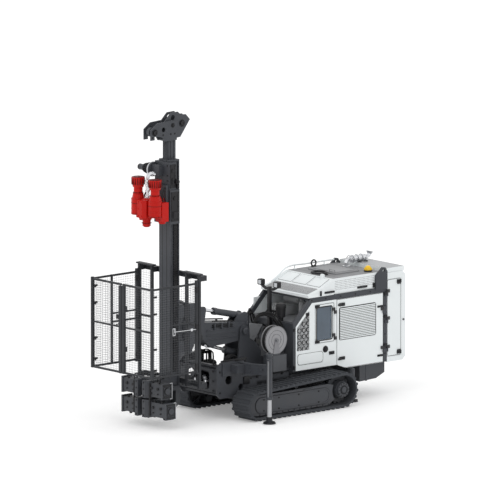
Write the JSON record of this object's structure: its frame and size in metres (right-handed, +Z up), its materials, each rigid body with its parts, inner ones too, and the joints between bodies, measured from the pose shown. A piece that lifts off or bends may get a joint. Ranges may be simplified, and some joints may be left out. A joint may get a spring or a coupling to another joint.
{
  "type": "crawler drilling rig",
  "caption": "Compact crawler drilling rig with a tilting boom, upright slide mast, red rotary head, rod clamps, guard cage, jack legs and a louvred engine house.",
  "frame": {"origin": "on the ground, below the middle of the machine's length and width", "axes": "+X forward to the mast, +Y to the machine's left, +Z up"},
  "size_m": [5.23, 2.46, 4.74],
  "materials": {
    "dark_steel": "satin dark grey",
    "black_trim": "matt black",
    "track_rubber": "worn rubber",
    "white_panel": "gloss white",
    "grey_part": "satin grey",
    "roof_panel": "matt grey",
    "red_head": "satin red",
    "chromed": "bright",
    "engine_iron": "rough",
    "pane": "tinted",
    "lens": "amber"
  },
  "bodies": {
    "carrier": {"chassis": "dark_steel", "front_frame": "dark_steel", "track_L": "track_rubber", "track_R": "track_rubber", "track_frame_L": "dark_steel", "track_frame_R": "dark_steel", "idler_L": "dark_steel", "idler_R": "dark_steel", "sprocket_L": "dark_steel", "sprocket_R": "dark_steel", "house_frame": "dark_steel", "front_bulkhead": "dark_steel", "side_panel_L": "white_panel", "side_panel_R": "white_panel", "gauge_panel": "grey_part", "rear_housing": "white_panel", "front_hood": "white_panel", "roof_shell": "roof_panel", "engine_block": "engine_iron", "tank_box": "dark_steel", "exhaust": "chromed", "beacon": "lens", "lamp_post": "black_trim", "air_filter": "black_trim", "reel_stand": "dark_steel", "outrigger_L": "dark_steel", "outrigger_R": "dark_steel", "rear_jack_L": "dark_steel", "rear_jack_R": "dark_steel"},
    "boom_body": {"boom": "dark_steel"},
    "lift_barrel": {"lift_cylinder": "dark_steel"},
    "lift_piston": {"lift_rod": "chromed"},
    "tilt_barrel": {"tilt_cylinder": "dark_steel"},
    "tilt_piston": {"tilt_rod": "chromed"},
    "cradle_body": {"cradle": "dark_steel"},
    "slide_block": {"swing_plate": "dark_steel"},
    "mast_body": {"mast": "dark_steel", "crown": "dark_steel", "clamp_bracket": "dark_steel", "clamp_upper": "dark_steel", "clamp_lower": "dark_steel", "guard_frame": "dark_steel"},
    "feed_body": {"carriage": "black_trim", "rotary_head": "red_head"},
    "spindle_body": {"spindle": "red_head"},
    "guard_L": {"guard_leaf_L": "dark_steel"},
    "guard_R": {"guard_leaf_R": "dark_steel"},
    "foot_front_L": {"front_leg_L": "chromed"},
    "foot_front_R": {"front_leg_R": "chromed"},
    "foot_rear_L": {"rear_leg_L": "chromed"},
    "foot_rear_R": {"rear_leg_R": "chromed"},
    "window_leaf": {"window_door": "white_panel", "window_glass": "pane"},
    "side_leaf_L": {"grille_door_L": "white_panel"},
    "side_leaf_R": {"grille_door_R": "white_panel"},
    "rear_leaf_L": {"rear_door_L": "white_panel"},
    "rear_leaf_R": {"rear_door_R": "white_panel"},
    "hatch_leaf": {"roof_hatch": "roof_panel"},
    "reel_body": {"hose_reel": "grey_part"}
  },
  "joints": [
    {"name": "boom_lift", "type": "hinge", "parent": "carrier", "child": "boom_body", "pos_m": [0.3, 0, 1.25], "axis": [0, 1, 0], "range_deg": [-35, 4]},
    {"name": "lift_barrel_turn", "type": "hinge", "parent": "carrier", "child": "lift_barrel", "pos_m": [-0.11, 0, 0.76], "axis": [0, 1, 0], "range_deg": [-18, 2.5]},
    {"name": "lift_rod_slide", "type": "slide", "parent": "lift_barrel", "child": "lift_piston", "axis": [0.9533, 0, 0.302], "range_m": [-0.025, 0.165]},
    {"name": "mast_tilt", "type": "hinge", "parent": "boom_body", "child": "cradle_body", "pos_m": [1.2, 0, 1.4], "axis": [0, 1, 0], "range_deg": [-50, 8]},
    {"name": "tilt_barrel_turn", "type": "hinge", "parent": "boom_body", "child": "tilt_barrel", "pos_m": [0.22, 0, 1.46], "axis": [0, 1, 0], "range_deg": [-2, 9.5]},
    {"name": "tilt_rod_slide", "type": "slide", "parent": "tilt_barrel", "child": "tilt_piston", "axis": [0.9738, 0, 0.2272], "range_m": [-0.205, 0.035]},
    {"name": "mast_swing", "type": "hinge", "parent": "cradle_body", "child": "slide_block", "pos_m": [1.43, 0, 1.4], "axis": [1, 0, 0], "range_deg": [-30, 30]},
    {"name": "mast_slide", "type": "slide", "parent": "slide_block", "child": "mast_body", "axis": [0, 0, 1], "range_m": [-0.12, 0.35]},
    {"name": "head_feed", "type": "slide", "parent": "mast_body", "child": "feed_body", "axis": [0, 0, 1], "range_m": [-2.1, 0]},
    {"name": "spindle_spin", "type": "hinge", "parent": "feed_body", "child": "spindle_body", "pos_m": [2.11, 0, 3.12], "axis": [0, 0, 1], "continuous": true},
    {"name": "guard_turn_L", "type": "hinge", "parent": "mast_body", "child": "guard_L", "pos_m": [1.715, 0.69, 0.85], "axis": [0, 0, 1], "range_deg": [0, 95]},
    {"name": "guard_turn_R", "type": "hinge", "parent": "mast_body", "child": "guard_R", "pos_m": [1.715, -0.69, 0.85], "axis": [0, 0, -1], "range_deg": [0, 95]},
    {"name": "front_jack_L", "type": "slide", "parent": "carrier", "child": "foot_front_L", "axis": [0, 0, 1], "range_m": [0, 0.25]},
    {"name": "front_jack_R", "type": "slide", "parent": "carrier", "child": "foot_front_R", "axis": [0, 0, 1], "range_m": [0, 0.25]},
    {"name": "rear_jack_lift_L", "type": "slide", "parent": "carrier", "child": "foot_rear_L", "axis": [0, 0, 1], "range_m": [0, 0.14]},
    {"name": "rear_jack_lift_R", "type": "slide", "parent": "carrier", "child": "foot_rear_R", "axis": [0, 0, 1], "range_m": [0, 0.14]},
    {"name": "window_door_hinge", "type": "hinge", "parent": "carrier", "child": "window_leaf", "pos_m": [-1.168, 0.5625, 1.27], "axis": [0, 0, 1], "range_deg": [0, 100]},
    {"name": "side_door_hinge_L", "type": "hinge", "parent": "carrier", "child": "side_leaf_L", "pos_m": [-2.158, 0.5625, 1.06], "axis": [0, 0, 1], "range_deg": [0, 90]},
    {"name": "side_door_hinge_R", "type": "hinge", "parent": "carrier", "child": "side_leaf_R", "pos_m": [-2.158, -0.5625, 1.06], "axis": [0, 0, -1], "range_deg": [0, 90]},
    {"name": "rear_door_hinge_L", "type": "hinge", "parent": "carrier", "child": "rear_leaf_L", "pos_m": [-2.242, 0.5625, 1.2], "axis": [0, 0, -1], "range_deg": [0, 90]},
    {"name": "rear_door_hinge_R", "type": "hinge", "parent": "carrier", "child": "rear_leaf_R", "pos_m": [-2.242, -0.5625, 1.2], "axis": [0, 0, 1], "range_deg": [0, 90]},
    {"name": "roof_hatch_hinge", "type": "hinge", "parent": "carrier", "child": "hatch_leaf", "pos_m": [-1.9, 0, 1.9303], "axis": [0, -1, 0], "range_deg": [0, 85]},
    {"name": "reel_spin", "type": "hinge", "parent": "carrier", "child": "reel_body", "pos_m": [0.015, 0.465, 1.13], "axis": [0, 1, 0], "continuous": true}
  ],
  "couplings": [
    {"joint": "lift_barrel_turn", "follows": "boom_lift", "ratio": 0.491},
    {"joint": "lift_rod_slide", "follows": "boom_lift", "m_per_rad": -0.2577},
    {"joint": "tilt_barrel_turn", "follows": "mast_tilt", "ratio": -0.18},
    {"joint": "tilt_rod_slide", "follows": "mast_tilt", "m_per_rad": 0.2298}
  ]
}
